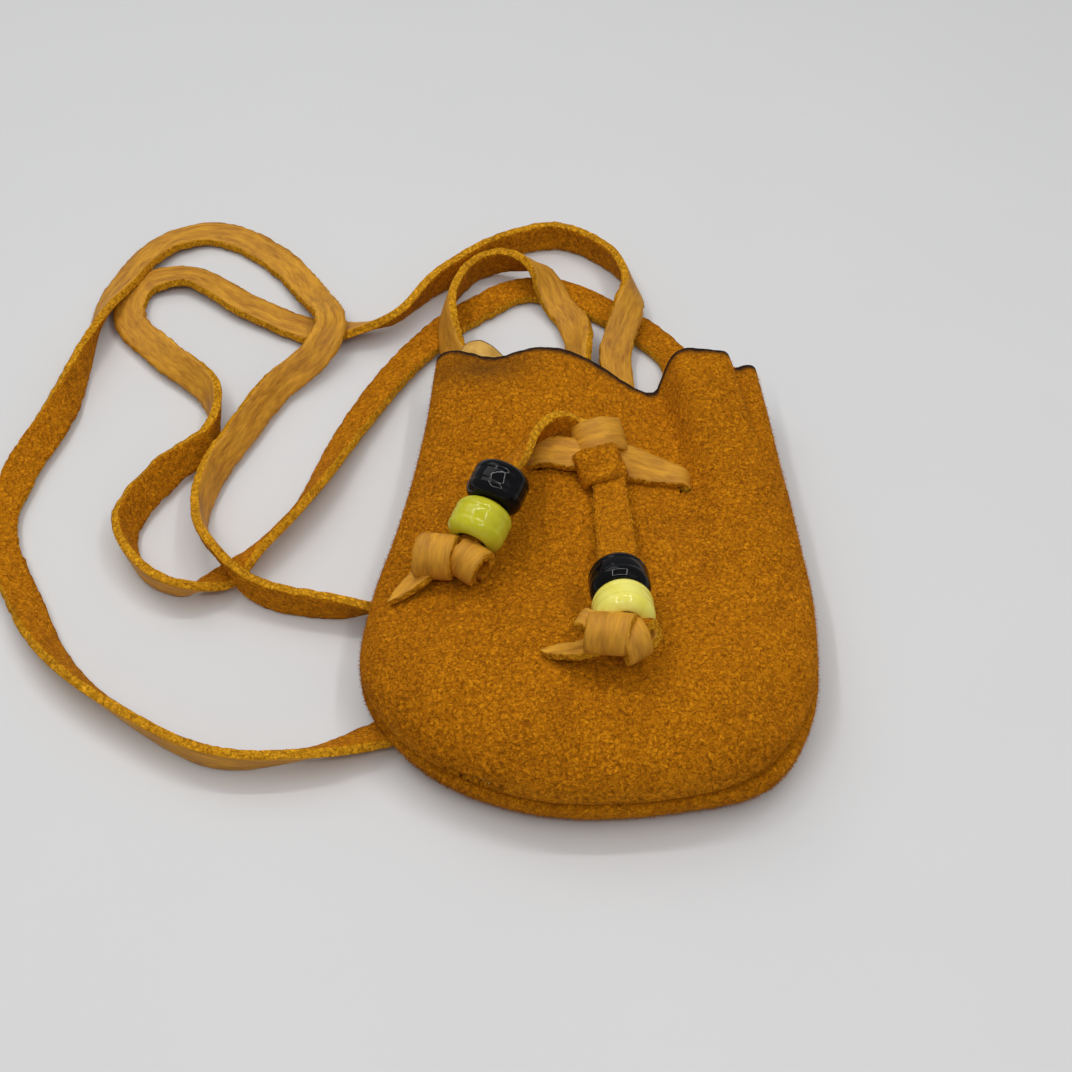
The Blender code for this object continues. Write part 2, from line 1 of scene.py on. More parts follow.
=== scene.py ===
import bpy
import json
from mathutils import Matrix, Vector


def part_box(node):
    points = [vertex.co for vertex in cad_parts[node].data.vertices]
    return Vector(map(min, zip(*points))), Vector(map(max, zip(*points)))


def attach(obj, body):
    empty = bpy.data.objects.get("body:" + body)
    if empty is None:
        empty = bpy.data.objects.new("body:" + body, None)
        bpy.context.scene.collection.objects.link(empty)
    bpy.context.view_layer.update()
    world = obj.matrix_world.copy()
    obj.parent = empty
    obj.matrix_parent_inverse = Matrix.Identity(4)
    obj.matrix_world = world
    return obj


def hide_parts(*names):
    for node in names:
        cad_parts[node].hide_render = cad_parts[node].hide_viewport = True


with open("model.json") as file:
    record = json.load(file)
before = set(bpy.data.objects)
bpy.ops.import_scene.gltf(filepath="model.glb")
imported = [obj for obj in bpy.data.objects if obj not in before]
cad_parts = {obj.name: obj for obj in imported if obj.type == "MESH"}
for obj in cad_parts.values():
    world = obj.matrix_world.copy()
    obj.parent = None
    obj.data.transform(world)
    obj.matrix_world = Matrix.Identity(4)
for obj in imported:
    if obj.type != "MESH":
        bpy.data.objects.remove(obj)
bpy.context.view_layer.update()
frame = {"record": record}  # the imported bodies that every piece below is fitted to

import json
import math

import bmesh
import bpy
import numpy as np
from mathutils import Matrix, Vector, noise

mm = 0.001
pouchBody = "pouch"


# Small helpers

def smoothStep(value):
    value = np.clip(value, 0, 1)
    return value * value * (3 - 2 * value)


def smoothCurve(points, count, bend=0.0):
    # a smooth line through the points, its places closer together in bends where bend is a length
    points = np.array(points, float)
    before = np.vstack([points[:1], points[:-1]])[:-1]
    after = np.vstack([points[2:], points[-1:]])
    start, end = points[:-1], points[1:]
    share = (np.arange(12) / 12)[None, :, None]
    before, start, end, after = (p[:, None, :] for p in (before, start, end, after))
    dense = 0.5 * (2 * start + (end - before) * share
                   + (2 * before - 5 * start + 4 * end - after) * share**2
                   + (3 * start - before - 3 * end + after) * share**3)
    dense = np.vstack([dense.reshape(-1, points.shape[1]), points[-1:]])
    step = np.diff(dense[:, :3], axis=0)  # a fourth column and more only follow along
    length = np.maximum(np.linalg.norm(step, axis=1), 1e-9)
    way = step / length[:, None]
    turn = np.arccos(np.clip((way[1:] * way[:-1]).sum(1), -1, 1))
    reach = np.concatenate([[0], np.cumsum(length + bend * np.concatenate([[0], turn]))])
    places = np.linspace(0, reach[-1], count)
    return np.stack([np.interp(places, reach, dense[:, k]) for k in range(points.shape[1])], 1)


def lineLength(line):
    return float(np.linalg.norm(np.diff(line, axis=0), axis=1).sum())


def nearestOnLine(places, line):
    # distance in plan from each place to a line, the nearest point there and the line's direction
    start, step = line[:-1, :2], np.diff(line[:, :2], axis=0)
    away = places[:, None, :2] - start[None]
    share = np.clip((away * step).sum(2) / (step**2).sum(1), 0, 1)
    found = start[None] + share[..., None] * step[None]
    distance = np.linalg.norm(places[:, None, :2] - found, axis=2)
    best = distance.argmin(1)
    rows = np.arange(len(places))
    return distance[rows, best], found[rows, best], step[best] / np.linalg.norm(step[best], axis=1)[:, None]


def unit(vectors):
    return vectors / np.maximum(np.linalg.norm(vectors, axis=1), 1e-12)[:, None]


def reachAlong(line):
    return np.concatenate([[0], np.cumsum(np.linalg.norm(np.diff(line, axis=0), axis=1))])


def wander(places, spacing, seed):
    # a smooth random line of -1 to 1 along the places
    knots = np.random.default_rng(seed).uniform(-1, 1, int(places.max() / spacing) + 3)
    at = (places / spacing).astype(int)
    share = smoothStep(places / spacing - at)
    return knots[at] * (1 - share) + knots[at + 1] * share


def addPiece(name, mesh, materials, body=pouchBody):
    piece = bpy.data.objects.new(name, mesh)
    bpy.context.scene.collection.objects.link(piece)
    for finish in materials:
        mesh.materials.append(finish)
    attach(piece, body)
    return piece


def meshFrom(shape, name, smooth=True):
    mesh = bpy.data.meshes.new(name)
    shape.to_mesh(mesh)
    shape.free()
    if smooth:
        mesh.shade_smooth()
    return mesh


# Materials

class Wire:
    # one socket of a material, so that shader maths reads as plain sums
    def __init__(self, paint, socket):
        self.paint = paint
        self.socket = socket

    def __add__(self, other):
        return self.paint.sum("ADD", self, other)

    def __sub__(self, other):
        return self.paint.sum("SUBTRACT", self, other)

    def __mul__(self, other):
        return self.paint.sum("MULTIPLY", self, other)


class Paint:
    # a material under construction around one Principled shader
    def __init__(self, name, **fixed):
        self.material = bpy.data.materials.new(name)
        self.material.use_nodes = True
        self.tree = self.material.node_tree
        self.shader = self.tree.nodes["Principled BSDF"]
        for socket, value in fixed.items():
            self.shader.inputs[socket.replace("_", " ")].default_value = value

    def add(self, kind, settings=None, inputs=None, output=0):
        made = self.tree.nodes.new(kind)
        for key, value in (settings or {}).items():
            if key == "stops":
                stops = made.color_ramp.elements
                while len(stops) < len(value):
                    stops.new(0.5)
                for stop, (place, colour) in zip(stops, value):
                    stop.position = place
                    stop.color = (*colour, 1)
            else:
                setattr(made, key, value)
        for key, value in (inputs or {}).items():
            if isinstance(value, Wire):
                self.tree.links.new(value.socket, made.inputs[key])
            elif value is not None:
                made.inputs[key].default_value = value
        return Wire(self, made.outputs[output])

    def sum(self, operation, a, b):
        return self.add("ShaderNodeMath", {"operation": operation}, {0: a, 1: b})

    def place(self):
        return self.add("ShaderNodeTexCoord", output="Object")

    def flow(self, name, stretch=1.0):
        # the place along, across and through a lace, with what runs along it drawn out
        where = self.add("ShaderNodeAttribute", {"attribute_name": name}, output="Vector")
        return self.add("ShaderNodeVectorMath", {"operation": "MULTIPLY"}, {0: where, 1: (stretch, 1, 1)})

    def noise(self, scale, detail=2.0, roughness=0.5, distortion=0.0, place=None):
        return self.add("ShaderNodeTexNoise", None, {
            "Vector": place or self.place(), "Scale": scale, "Detail": detail,
            "Roughness": roughness, "Distortion": distortion})

    def spread(self, value, low, high, toLow=0.0, toHigh=1.0):
        return self.add("ShaderNodeMapRange", {"clamp": True}, {
            "Value": value, "From Min": low, "From Max": high, "To Min": toLow, "To Max": toHigh})

    def mix(self, share, a, b, blend="MIX"):
        return self.add("ShaderNodeMix", {"data_type": "RGBA", "blend_type": blend},
                        {0: share, 6: a, 7: b}, output=2)

    def ramp(self, value, stops):
        return self.add("ShaderNodeValToRGB", {"stops": stops}, {"Fac": value})

    def attribute(self, name):
        return self.add("ShaderNodeAttribute", {"attribute_name": name}, output="Fac")

    def feed(self, socket, wire):
        self.tree.links.new(wire.socket, self.shader.inputs[socket])

    def bump(self, height, distance, strength=1.0):
        normal = self.add("ShaderNodeBump", None,
                          {"Height": height, "Distance": distance, "Strength": strength}, "Normal")
        self.feed("Normal", normal)


def rgb(red, green, blue):
    return (red, green, blue, 1)


napLook = {
    "dark": (0.27, 0.082, 0.002), "middle": (0.54, 0.183, 0.003), "light": (0.86, 0.33, 0.008),
    # the smoked tone darkens the burnt edges and is also the painted shade in the mouth's left hollow
    "smokeAndShadeTone": (0.10, 0.036, 0.005), "burnt": (0.035, 0.018, 0.011),
    "fibre": 1900, "patch": 260, "slow": 45, "char": 1300, "shares": (0.78, 0.13, 0.09), "relief": 0.7 * mm,
}


def napMaterial(name, shade=(1.0, 1.0, 1.0), scorchedAndShaded=True, follow=None):
    # brushed suede: fine nap strokes over slow patches, a scorched tone where the cut edge was burnt, and the
    # same dark tone as painted shade in the hollow by the mouth's left corner
    paint = Paint(name, Roughness=0.95, Specular_IOR_Level=0.08)
    where = paint.flow(follow) if follow else paint.place()
    strokes = paint.noise(napLook["fibre"], 3, 0.62, 0.9, where)
    patches = paint.noise(napLook["patch"], 3, 0.55, 0.0, where)
    slow = paint.noise(napLook["slow"], 2, 0.5, 0.0, where)
    fine, broad, wide = napLook["shares"]
    tone = paint.spread(strokes * fine + patches * broad + slow * wide, 0.35, 0.67)
    dark, middle, light = (tuple(np.multiply(napLook[key], shade)) for key in ("dark", "middle", "light"))
    colour = paint.ramp(tone, [(0.0, dark), (0.5, middle), (1.0, light)])
    if scorchedAndShaded:
        burn = paint.attribute("burn")
        # dark smoked tone near the burnt edges, and painted shade in the mouth's left hollow
        smokeAndShade = paint.spread(burn + (patches - 0.5) * 0.2, 0.02, 0.5, 0, 0.85)
        colour = paint.mix(smokeAndShade, colour, rgb(*napLook["smokeAndShadeTone"]))
        char = paint.spread(burn + (paint.noise(napLook["char"], 2) - 0.5) * 0.5, 0.52, 0.78)
        colour = paint.mix(char, colour, rgb(*napLook["burnt"]))
    paint.feed("Base Color", colour)
    paint.bump(strokes * 0.9 + patches * 0.5, napLook["relief"], 1.0)
    return paint.material


def smoothSideMaterial(name, dark, light, follow=None):
    # the grain side of the hide: pale gold with fine long fibres
    paint = Paint(name, Roughness=0.62, Specular_IOR_Level=0.3)
    where = paint.flow(follow, 0.22) if follow else paint.place()
    grain = paint.noise(900 if follow else 420, 4, 0.6, 0.4, where)
    fine = paint.noise(2600, 2, 0.5, 0.0, where)
    tone = paint.spread(grain * 0.7 + fine * 0.3, 0.35, 0.68)
    colour = paint.mix(tone, rgb(*dark), rgb(*light))
    edge = paint.spread(paint.attribute("burn"), 0.86, 0.99)
    paint.feed("Base Color", paint.mix(edge, colour, rgb(*napLook["burnt"])))
    paint.feed("Roughness", paint.spread(grain, 0.3, 0.7, 0.52, 0.74))
    paint.bump(grain * 0.6 + fine * 0.4, 0.12 * mm, 0.6)
    return paint.material


def burntMaterial():
    paint = Paint("burntEdge", Roughness=0.95, Specular_IOR_Level=0.05)
    grit = paint.noise(1800, 3, 0.6)
    streak = paint.noise(500, 2, 0.5)
    tone = paint.spread(grit * 0.6 + streak * 0.4, 0.35, 0.7)
    paint.feed("Base Color", paint.ramp(tone, [(0, (0.035, 0.016, 0.009)), (0.6, (0.13, 0.060, 0.028)),
                                               (1, (0.30, 0.17, 0.085))]))
    paint.bump(grit, 0.2 * mm, 0.8)
    return paint.material


def beadMaterial(name, deep, pale, marbling, gloss, shine):
    paint = Paint(name, Roughness=gloss, Specular_IOR_Level=shine)
    swirl = paint.noise(170, 3, 0.55, 1.6)
    cloud = paint.noise(420, 2, 0.5, 0.6)
    tone = paint.spread(swirl * 0.7 + cloud * 0.3, 0.36, 0.64)
    paint.feed("Base Color", paint.mix(tone * marbling, rgb(*deep), rgb(*pale)))
    return paint.material


suedeNap = napMaterial("suedeNap")
laceNap = napMaterial("laceNap", scorchedAndShaded=False, follow="flow")
laceEdge = napMaterial("laceEdge", (1.25, 1.6, 3.0), scorchedAndShaded=False, follow="flow")
suedeSmooth = smoothSideMaterial("suedeSmooth", (0.50, 0.25, 0.035), (0.76, 0.45, 0.10))
laceSmooth = smoothSideMaterial("laceSmooth", (0.36, 0.135, 0.006), (0.74, 0.35, 0.024), "flow")
burntEdge = burntMaterial()
blackGlass = beadMaterial("blackBead", (0.0035, 0.0035, 0.004), (0.006, 0.006, 0.007), 1.0, 0.05, 0.16)
limeGlass = beadMaterial("limeBead", (0.50, 0.46, 0.010), (0.66, 0.61, 0.045), 0.8, 0.07, 0.28)
paleLimeGlass = beadMaterial("paleLimeBead", (0.80, 0.70, 0.09), (0.92, 0.84, 0.21), 0.8, 0.07, 0.28)
print("materials made")


# The camera, the floor and the lights

# in metres and watts: two soft boxes, and a frame of four strip lamps overhead that the beads mirror
lamps = {
    "key": {"place": (-0.32, 0.42, 0.62), "size": 0.5, "power": 1.3},
    "fill": {"place": (0.45, -0.35, 0.6), "size": 0.5, "power": 0.3},
    "frame": {"place": (0.0, -0.07, 0.42), "width": 0.34, "depth": 0.40, "bar": 0.014, "power": 0.38},
}
room = {
    "light": 0.27, "tint": (0.93, 0.96, 1.0), "floorHalf": 3.0, "floorDrop": 0.2 * mm,
    "floorLow": (0.69, 0.685, 0.68), "floorHigh": (0.71, 0.705, 0.70),
}
view = {"target": (-7.5, 6.6, 5.0), "distance": 271.0, "elevation": 48.0, "angle": 32.0}


def setCamera():
    tilt = math.radians(view["elevation"])
    place = Vector(view["target"]) + view["distance"] * Vector((0, -math.cos(tilt), math.sin(tilt)))
    lens = bpy.data.cameras.new("camera")
    lens.angle = math.radians(view["angle"])
    lens.clip_start = 0.01
    camera = bpy.data.objects.new("camera", lens)
    camera.location = place * mm
    camera.rotation_euler = (math.pi / 2 - tilt, 0, 0)
    bpy.context.scene.collection.objects.link(camera)
    bpy.context.scene.camera = camera


def addLight(name, place, target, size, power, sizeY=None):
    lamp = bpy.data.lights.new(name, "AREA")
    lamp.shape = "RECTANGLE"
    lamp.size = size
    lamp.size_y = sizeY or size
    lamp.energy = power
    light = bpy.data.objects.new(name, lamp)
    light.location = place
    light.rotation_euler = (Vector(target) - Vector(place)).to_track_quat("-Z", "Y").to_euler()
    bpy.context.scene.collection.objects.link(light)


def addLampFrame(x, y, high, width, depth, bar, power):
    for side in (-1, 1):
        long = x + side * width / 2
        addLight("ringSide", (long, y, high), (long, y, 0), bar, power, depth)
        across = y + side * depth / 2
        addLight("ringEnd", (x, across, high), (x, across, 0), width, power, bar)


def setStage():
    shape = bmesh.new()
    bmesh.ops.create_grid(shape, x_segments=1, y_segments=1, size=room["floorHalf"])
    floor = bpy.data.objects.new("floor", meshFrom(shape, "floor", False))
    floor.location = (0, 0, -room["floorDrop"])
    bpy.context.scene.collection.objects.link(floor)
    paint = Paint("paleFloor", Roughness=0.6, Specular_IOR_Level=0.2)
    paint.feed("Base Color", paint.mix(paint.noise(30, 3), rgb(*room["floorLow"]), rgb(*room["floorHigh"])))
    floor.data.materials.append(paint.material)
    world = bpy.data.worlds.new("studio")
    world.use_nodes = True
    world.node_tree.nodes["Background"].inputs["Color"].default_value = rgb(*room["tint"])
    world.node_tree.nodes["Background"].inputs["Strength"].default_value = room["light"]
    bpy.context.scene.world = world
    for name in ("key", "fill"):
        addLight(name + "Softbox", lamps[name]["place"], (0, 0, 0), lamps[name]["size"], lamps[name]["power"])
    frameLamp = lamps["frame"]
    addLampFrame(*frameLamp["place"], *(frameLamp[key] for key in ("width", "depth", "bar", "power")))


setCamera()
setStage()
bpy.context.scene.view_settings.view_transform = "Standard"
print("camera, floor and lights set")


# The pouch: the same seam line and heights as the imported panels, with finer forms

leather = 1.2 * mm
clear = 0.3 * mm
pouch = {
    "seam": [
        (-22.4, 40.0), (-23.6, 25.8), (-26.4, 7.8), (-29.8, -8.2), (-30.2, -21.7), (-22.4, -32.6),
        (-8.0, -39.4), (8.0, -39.6), (20.8, -35.6), (28.4, -25.2), (30.4, -11.2), (29.4, 5.8),
        (27.8, 21.8), (26.0, 37.6),
    ],
    "seamHeight": 5.5 * mm, "seamLift": 1.3 * mm, "allowance": 4.0 * mm, "curl": 1.6 * mm,
    "belly": 13.4 * mm, "waist": 11.0 * mm, "mouth": 13.0 * mm, "rounding": 13.0 * mm,
    "bellyY": -29.2 * mm, "waistY": -3.2 * mm, "liftY": 9.8 * mm, "neckY": 17.8 * mm, "mouthY": 38.8 * mm,
    "liftRun": 16.0 * mm, "backLevel": 0.6 * mm, "backMouth": 3.5 * mm, "backRounding": 7.0 * mm,
    "backLip": 1.2 * mm, "lipX": 23.0 * mm, "lipWidth": 7.0 * mm, "ridgeHalf": 2.6 * mm,
    "ridgeSlope": 4.0 * mm, "overLace": 3.3 * mm, "sag": 1.0 * mm,
    "notch": 3.6 * mm, "notchX": 9.5 * mm, "notchWidths": (9.0 * mm, 2.7 * mm),
    "tongue": 4.3 * mm, "tongueX": -16.6 * mm, "tongueWidth": 6.2 * mm, "tongueRise": 5.6 * mm,
    "tongueFade": 9.0 * mm, "columns": 150, "rows": 170,
    "underHalf": 34 * mm, "underTop": 50 * mm, "length": 80 * mm,
    # how far the turned-in rim stands in from the seam in millimetres, and its share of the way to the gap
    "rimTurn": [(0, 0.3), (0, 0.6), (0.3, 0.82), (0.8, 0.95), (1.6, 1.0), (4.0, 1.0)],
}
folds = {
    "pleat": {"height": 0.5 * mm, "top": (19.0 * mm, 38.8 * mm), "end": (22.0 * mm, -4.2 * mm),
              "width": 5.0 * mm, "growth": 0.8, "shoulder": 1.0},
    "valley": {"height": -6.4 * mm, "top": (11.0 * mm, 38.8 * mm), "end": (17.5 * mm, -5.2 * mm),
               "width": 1.8 * mm, "growth": 1.0, "shoulder": 4.6},
    "crease": {"height": -2.6 * mm, "top": (22.0 * mm, 38.8 * mm), "end": (27.4 * mm, 11.0 * mm),
               "width": 4.5 * mm, "growth": 0.0, "shoulder": 0.13},
}
creaseStep = {"x": 22.0 * mm, "run": 0.9 * mm, "depth": 1.5 * mm}
tuft = {"scale": 900.0, "height": 0.16 * mm, "slowScale": 95.0, "slowHeight": 0.45 * mm}
# width of the burnt mouth edge, then the strength, middle and reach in millimetres of a painted shade in the
# hollow by the mouth's left corner
scorchAndShade = {"width": 0.85 * mm, "smokeAndShade": 0.40, "place": (-15.5, 35.6), "reach": (8.0, 4.6)}
slits = {  # middle and half sizes in millimetres
    "front": [(-7.7, 16.4, 0.9, 2.7), (14.3, 13.4, 0.8, 1.9)],
    "back": [(-16.0, 32.9, 2.7, 0.9), (6.2, 33.3, 2.7, 0.9)],
}
dents = [  # place in plan, depth and width in millimetres: mouth corner, lower right rim, two soft hollows
    (-14.5, 38.2, 3.4, 5.5), (25.5, -27.0, 2.4, 4.0), (14.0, 6.0, 0.9, 6.0), (-22.0, 15.0, 0.8, 7.0),
]
neckRoute = [
    (-16.0, 34.4, 1.5), (-18.4, 40.8, 1.2), (-21.2, 49.8, 2.0), (-21.6, 57.2, 4.0),
    (-18.6, 68.0, 1.2), (-13.4, 70.2, 2.0), (-7.5, 66.6, 4.0), (-4.2, 61.8, 2.0), (-1.4, 56.2, 1.2),
    (-0.6, 48.4, 1.2), (-3.0, 37.8, 1.2), (-7.0, 25.8, 1.2), (-13.0, 12.8, 1.2), (-20.0, 1.4, 1.2),
    (-28.6, -4.6, 1.2), (-39.0, -4.4, 1.2), (-47.6, -1.8, 1.5), (-53.2, 3.0, 4.0),
    (-57.2, 11.8, 1.6), (-56.4, 21.4, 1.2), (-53.2, 29.8, 1.2), (-48.6, 40.2, 1.2), (-43.2, 46.8, 2.0),
    (-40.8, 54.2, 4.0), (-45.0, 64.2, 1.5), (-52.4, 74.4, 1.2), (-62.4, 80.4, 1.2),
    (-71.6, 76.4, 1.2), (-77.4, 63.8, 1.2), (-79.6, 49.8, 1.2), (-81.6, 35.8, 1.2),
    (-85.8, 22.4, 1.2), (-86.8, 10.4, 1.2), (-80.8, -2.8, 1.2), (-73.6, -14.6, 1.2),
    (-62.6, -24.2, 1.2), (-50.6, -30.8, 1.2), (-38.8, -30.4, 1.2), (-28.2, -26.4, 1.2),
    (-17.0, -18.8, 1.2), (-7.6, -5.2, 1.2), (1.0, 9.8, 1.2), (7.6, 24.4, 1.2), (13.4, 37.8, 1.2),
    (15.4, 46.4, 1.2), (11.4, 53.4, 1.2), (5.0, 59.2, 1.2), (-2.6, 64.8, 1.2), (-10.4, 65.4, 1.2),
    (-16.8, 61.0, 1.2), (-21.6, 56.8, 1.2), (-26.0, 51.0, 1.2), (-31.4, 41.8, 1.2),
    (-36.8, 29.4, 1.2), (-42.2, 15.2, 1.2), (-49.8, 4.2, 1.2), (-57.0, -1.4, 1.2),
    (-64.4, 2.2, 1.2), (-68.0, 11.2, 1.2), (-63.8, 21.2, 1.2), (-57.6, 28.8, 1.2),
    (-58.8, 39.0, 1.2), (-67.2, 48.4, 1.2), (-74.2, 57.4, 1.2), (-73.6, 66.2, 1.2),
    (-65.4, 68.4, 1.2), (-55.0, 61.0, 1.2), (-43.4, 55.0, 1.2), (-31.8, 56.2, 1.2),
    (-24.2, 65.6, 1.2), (-14.2, 74.4, 1.2), (-3.8, 77.8, 1.2), (4.6, 72.4, 1.2), (8.2, 63.2, 2.6),
    (7.6, 56.8, 4.0), (5.4, 49.6, 1.9), (5.6, 41.8, 1.2), (6.2, 34.8, 1.5),
]
neckRadius = 1.2 * mm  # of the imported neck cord
seam = smoothCurve(np.array(pouch["seam"]) * mm, 121)
neckTube = smoothCurve(np.array(neckRoute) * mm, 80, 9 * mm)
underPouch = neckTube[(abs(neckTube[:, 0]) < pouch["underHalf"]) & (neckTube[:, 1] < pouch["underTop"])]


def seamLevel(y):
    return pouch["seamHeight"] + pouch["seamLift"] * smoothStep(
        (y - pouch["liftY"]) / (pouch["mouthY"] - pouch["liftY"]))


def foldShare(places, fold):
    along = (fold["top"][1] - places[:, 1]) / (fold["top"][1] - fold["end"][1])
    middle = fold["top"][0] + (fold["end"][0] - fold["top"][0]) * along
    spread = fold["width"] * (1 + fold["growth"] * np.maximum(along, 0))
    spread = spread * np.where(places[:, 0] < middle, fold["shoulder"], 1)
    return (1 - smoothStep(along)) * np.exp(-(((places[:, 0] - middle) / spread) ** 2))


def frontHeight(places):
    places = np.atleast_2d(places)
    y = places[:, 1]
    start = seamLevel(y) + pouch["curl"]
    inward = np.minimum(nearestOnLine(places, seam)[0] / pouch["rounding"], 1)
    rise = np.sqrt(np.maximum(1 - (1 - inward) ** 2.2, 0))
    crown = pouch["belly"] + (pouch["waist"] - pouch["belly"]) * smoothStep(
        (y - pouch["bellyY"]) / (pouch["waistY"] - pouch["bellyY"]))
    crown += (pouch["mouth"] - pouch["waist"]) * smoothStep(
        (y - pouch["neckY"]) / (pouch["mouthY"] - pouch["neckY"]))
    form = crown - start
    for fold in folds.values():
        form = form + fold["height"] * foldShare(places, fold)
    for x0, y0, depth, width in dents:
        away = ((places[:, 0] - x0 * mm) ** 2 + (y - y0 * mm) ** 2) / (width * mm) ** 2
        form = form - depth * mm * np.exp(-away)
    return start + form * rise


def backHeight(places):
    y = places[:, 1]
    start = seamLevel(y) - pouch["curl"]
    inward = np.minimum(nearestOnLine(places, seam)[0] / pouch["backRounding"], 1)
    sink = np.sqrt(np.maximum(1 - (1 - inward) ** 2, 0))
    away = nearestOnLine(places, underPouch)[0]
    level = pouch["backLevel"] + (pouch["overLace"] - pouch["backLevel"]) * (
        1 - smoothStep((away - pouch["ridgeHalf"]) / pouch["ridgeSlope"]))
    mouth = pouch["backMouth"] * smoothStep(
        (y - pouch["liftY"]) / (pouch["neckY"] + pouch["liftRun"] - pouch["liftY"]))
    tongue = np.exp(-(((places[:, 0] - pouch["tongueX"]) / pouch["tongueWidth"]) ** 2))
    tongue = tongue * smoothStep((y - pouch["mouthY"]) / pouch["tongueFade"] + 1)
    return start + (np.maximum(level, mouth) + pouch["tongueRise"] * tongue - start) * sink


def frontMouth(x):
    width = np.where(x < pouch["notchX"], *pouch["notchWidths"])
    back = creaseStep["depth"] * smoothStep((x - creaseStep["x"]) / creaseStep["run"])
    return pouch["notch"] * np.exp(-(((x - pouch["notchX"]) / width) ** 2)) + back


def backMouth(x):
    return -pouch["tongue"] * np.exp(-(((x - pouch["tongueX"]) / pouch["tongueWidth"]) ** 2))


def onLine(line, share):
    reach = share * (len(line) - 1)
    return np.stack([np.interp(reach, np.arange(len(line)), line[:, k]) for k in range(2)], 1)


def panelPlan(u, v, mouthEdge):
    # a grid laid over the seam outline, with the mouth along its far edge
    low = seam[:, 1] < seam[len(seam) // 2, 1] + 6.5 * mm
    first, last = np.flatnonzero(low)[[0, -1]]
    left, bottom, right = seam[first::-1], seam[first:last + 1], seam[last:]
    u = (0.45 * u + 0.55 * (0.5 - 0.5 * np.cos(np.pi * u)))
    v = 0.75 * v + 0.25 * (1 - np.cos(np.pi / 2 * v))
    u2, v2 = u[:, None], v[:, None]
    top = left[-1] * (1 - u2) + right[-1] * u2
    dip = pouch["sag"] * np.abs(np.sin(np.pi * u))
    dip += mouthEdge(top[:, 0]) * smoothStep(np.minimum(u, 1 - u) / 0.1)
    mouth = top - np.stack([np.zeros_like(u), dip], 1)
    sides = onLine(left, v) * (1 - u2) + onLine(right, v) * u2
    ends = onLine(bottom, u) * (1 - v2) + mouth * v2
    corners = (left[0] * (1 - u2) + right[0] * u2) * (1 - v2) + top * v2
    return sides + ends - corners


def seamFrame(places):
    distance, found, way = nearestOnLine(places, seam)
    out = np.stack([way[:, 1], -way[:, 0]], 1)
    return distance, found, out * np.sign((out * found).sum(1))[:, None]


def scorchAndShadeShare(grid, plan):
    # how burnt each place is, ragged along the mouth edge, plus a painted shade in the hollow at its left
    # carried in the same value
    away = (0.75 * (1 - grid[:, 1]) + 0.25 * np.cos(np.pi / 2 * grid[:, 1])) * pouch["length"]
    ragged = 1 + 0.5 * wander(plan[:, 0] + 0.04, 2.2 * mm, 5)
    hollow = np.hypot(*((plan / mm - scorchAndShade["place"]) / scorchAndShade["reach"]).T)
    edge = np.exp(-((away / scorchAndShade["width"]) ** 2) * ragged)
    return np.maximum(edge, scorchAndShade["smokeAndShade"] * np.exp(-(hollow**2)))


def panel(name, height, mouthEdge, turn, lip, materials, cuts):
    # one leather panel with its rim turned in along the seam, its slits cut, its mouth edge scorched and a
    # painted shade in the hollow at the mouth's left
    shape = bmesh.new()
    bmesh.ops.create_grid(shape, x_segments=pouch["columns"], y_segments=pouch["rows"], size=0.5)
    grid = np.array([v.co for v in shape.verts]) + 0.5
    plan = panelPlan(grid[:, 0], grid[:, 1], mouthEdge)
    tufts = np.array([noise.noise(Vector((*place, 0)) * tuft["scale"]) for place in plan])
    slow = np.array([noise.noise(Vector((*place, 0)) * tuft["slowScale"]) for place in plan])
    level = height(plan) + tufts * tuft["height"] + slow * tuft["slowHeight"]
    burn = shape.verts.layers.float.new("burn")
    mouthVerts = set()
    for vert, place, z, share, (u, v, _) in zip(shape.verts, plan, level, scorchAndShadeShare(grid, plan), grid):
        vert.co = (*place, z)
        vert[burn] = share
        if v > 0.999:
            mouthVerts.add(vert)
    rim = [e for e in shape.edges if e.is_boundary and not all(v in mouthVerts for v in e.verts)]
    gap = (leather + clear) / 2
    for inset, share in pouch["rimTurn"]:
        made = bmesh.ops.extrude_edge_only(shape, edges=rim)["geom"]
        verts = [g for g in made if isinstance(g, bmesh.types.BMVert)]
        _, found, out = seamFrame(np.array([v.co for v in verts]))
        for vert, spot, way in zip(verts, found, out):
            vert.co.xy = spot - way * inset * mm
            vert.co.z = seamLevel(spot[1]) + turn * (pouch["curl"] + (gap - pouch["curl"]) * share)
        rim = [g for g in made if isinstance(g, bmesh.types.BMEdge)]
    places = np.array([v.co for v in shape.verts])
    distance, found, out = seamFrame(places)
    push = lip * np.exp(-(((found[:, 0] - pouch["lipX"]) / pouch["lipWidth"]) ** 2)) * (found[:, 1] < 0)
    push = push * (1 - smoothStep(distance / (6 * mm)))
    for vert, step in zip(shape.verts, out * push[:, None]):
        vert.co.xy += Vector(step)
    for x0, y0, halfX, halfY in cuts:
        inside = [f for f in shape.faces if abs(f.calc_center_median().x / mm - x0) < halfX
                  and abs(f.calc_center_median().y / mm - y0) < halfY]
        bmesh.ops.delete(shape, geom=inside, context="FACES")
    bmesh.ops.recalc_face_normals(shape, faces=shape.faces)
    if turn < 0:
        bmesh.ops.reverse_faces(shape, faces=shape.faces)
    mesh = meshFrom(shape, name)
    piece = addPiece(name, mesh, materials)
    wall = piece.modifiers.new("leather", "SOLIDIFY")
    wall.thickness = leather
    wall.offset = 0
    wall.material_offset = 1
    wall.material_offset_rim = 2
    return piece


nap = {"length": (0.30 * mm, 0.62 * mm), "root": 0.045 * mm, "lean": 0.85, "jitter": 0.2 * mm,
       "lowest": 1.3 * mm, "noFibresAbove": 0.3, "sunk": 0.48, "ring": [(1, 0), (-0.5, 0.87), (-0.5, -0.87)]}


